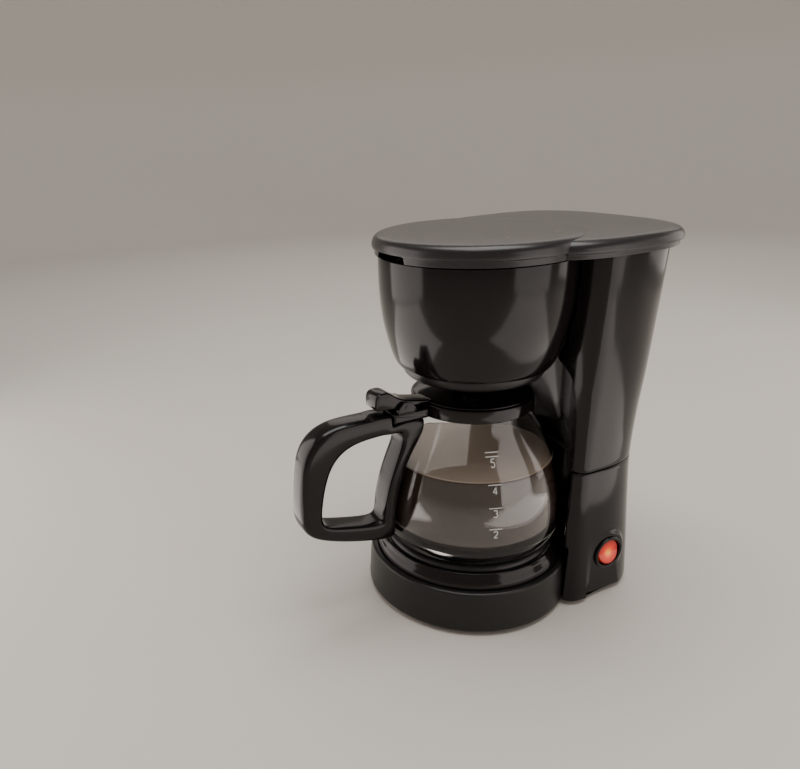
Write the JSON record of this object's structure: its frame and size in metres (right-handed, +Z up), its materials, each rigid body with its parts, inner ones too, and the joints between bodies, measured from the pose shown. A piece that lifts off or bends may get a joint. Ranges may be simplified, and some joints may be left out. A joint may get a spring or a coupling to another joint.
{
  "type": "drip coffee maker",
  "caption": "Compact black drip coffee maker: rear tank column, round brew head with lifting lid, round warming base and glass carafe with a loop handle.",
  "frame": {"origin": "centre of the bounding box's footprint, on the worktop under the feet", "axes": "+X to the machine's right (the switch side), +Y to the back (tank column), -Y to the front (carafe handle), +Z up"},
  "size_m": [0.15, 0.2588, 0.2578],
  "materials": {
    "gloss_black": "high gloss black",
    "satin_black": "satin black",
    "inner_black": "plain dark moulding",
    "clear_glass": "clear",
    "dark_plate": "dark non-stick coating",
    "steel": "plain",
    "alloy": "cast",
    "silicone": "translucent silicone",
    "foot_rubber": "matt black",
    "lamp_red": "translucent red, lit from inside"
  },
  "bodies": {
    "housing": {"drum_shell": "satin_black", "rim_ring": "gloss_black", "warming_plate": "dark_plate", "plate_seal": "silicone", "heating_element": "alloy", "heater_clamp": "steel", "thermostat": "inner_black", "thermal_fuse": "alloy", "base_cover": "satin_black", "cover_screw_1": "steel", "cover_screw_2": "steel", "cover_screw_3": "steel", "cover_screw_4": "steel", "foot_1": "foot_rubber", "foot_2": "foot_rubber", "foot_3": "foot_rubber", "foot_4": "foot_rubber", "foot_5": "foot_rubber", "lower_housing": "gloss_black", "cord_gland": "foot_rubber", "switch_bezel": "gloss_black", "switch_body": "inner_black", "check_valve": "inner_black", "inlet_hose": "silicone", "outlet_hose": "silicone", "upper_housing": "gloss_black", "niche_panel": "gloss_black", "riser_tube": "inner_black", "tank_strainer": "inner_black", "brew_head": "gloss_black", "drip_tier": "satin_black", "lid_hinge_pin": "steel"},
    "lid": {"lid": "gloss_black", "shower_head": "inner_black"},
    "basket": {"filter_basket": "satin_black"},
    "bail": {"basket_bail": "steel"},
    "valve": {"drip_valve": "inner_black", "valve_spring": "steel"},
    "carafe": {"carafe_glass": "clear_glass", "carafe_band": "gloss_black", "carafe_handle": "gloss_black", "carafe_lid_pin": "steel"},
    "carafe_lid": {"carafe_lid": "gloss_black"},
    "rocker": {"switch_rocker": "lamp_red"}
  },
  "joints": [
    {"name": "lid_hinge", "type": "hinge", "parent": "housing", "child": "lid", "pos_m": [0, 0.12625, 0.2472], "axis": [-1, 0, 0], "range_deg": [0, 95]},
    {"name": "basket_lift", "type": "slide", "parent": "housing", "child": "basket", "axis": [0, 0, 1], "range_m": [0, 0.0915]},
    {"name": "bail_hinge", "type": "hinge", "parent": "basket", "child": "bail", "pos_m": [0, 0.00475, 0.2364], "axis": [-1, 0, 0], "range_deg": [0, 86]},
    {"name": "valve_slide", "type": "slide", "parent": "basket", "child": "valve", "axis": [0, 0, 1], "range_m": [0, 0.003], "stiffness_N_per_m": 80, "springref_m": -0.003, "deforming": ["valve_spring"]},
    {"name": "carafe_slide", "type": "slide", "parent": "housing", "child": "carafe", "axis": [0, -1, 0], "range_m": [0, 0.2]},
    {"name": "carafe_lid_hinge", "type": "hinge", "parent": "carafe", "child": "carafe_lid", "pos_m": [0, -0.05225, 0.1516], "axis": [1, 0, 0], "range_deg": [0, 5]},
    {"name": "switch_rocker_hinge", "type": "hinge", "parent": "housing", "child": "rocker", "pos_m": [0.0614, 0.07775, 0.034], "axis": [0, 1, 0], "range_deg": [0, 16]}
  ],
  "couplings": [
    {"joint": "basket_lift", "follows": "lid_hinge", "m_per_rad": 0.055},
    {"joint": "bail_hinge", "follows": "lid_hinge", "ratio": 0.9}
  ]
}
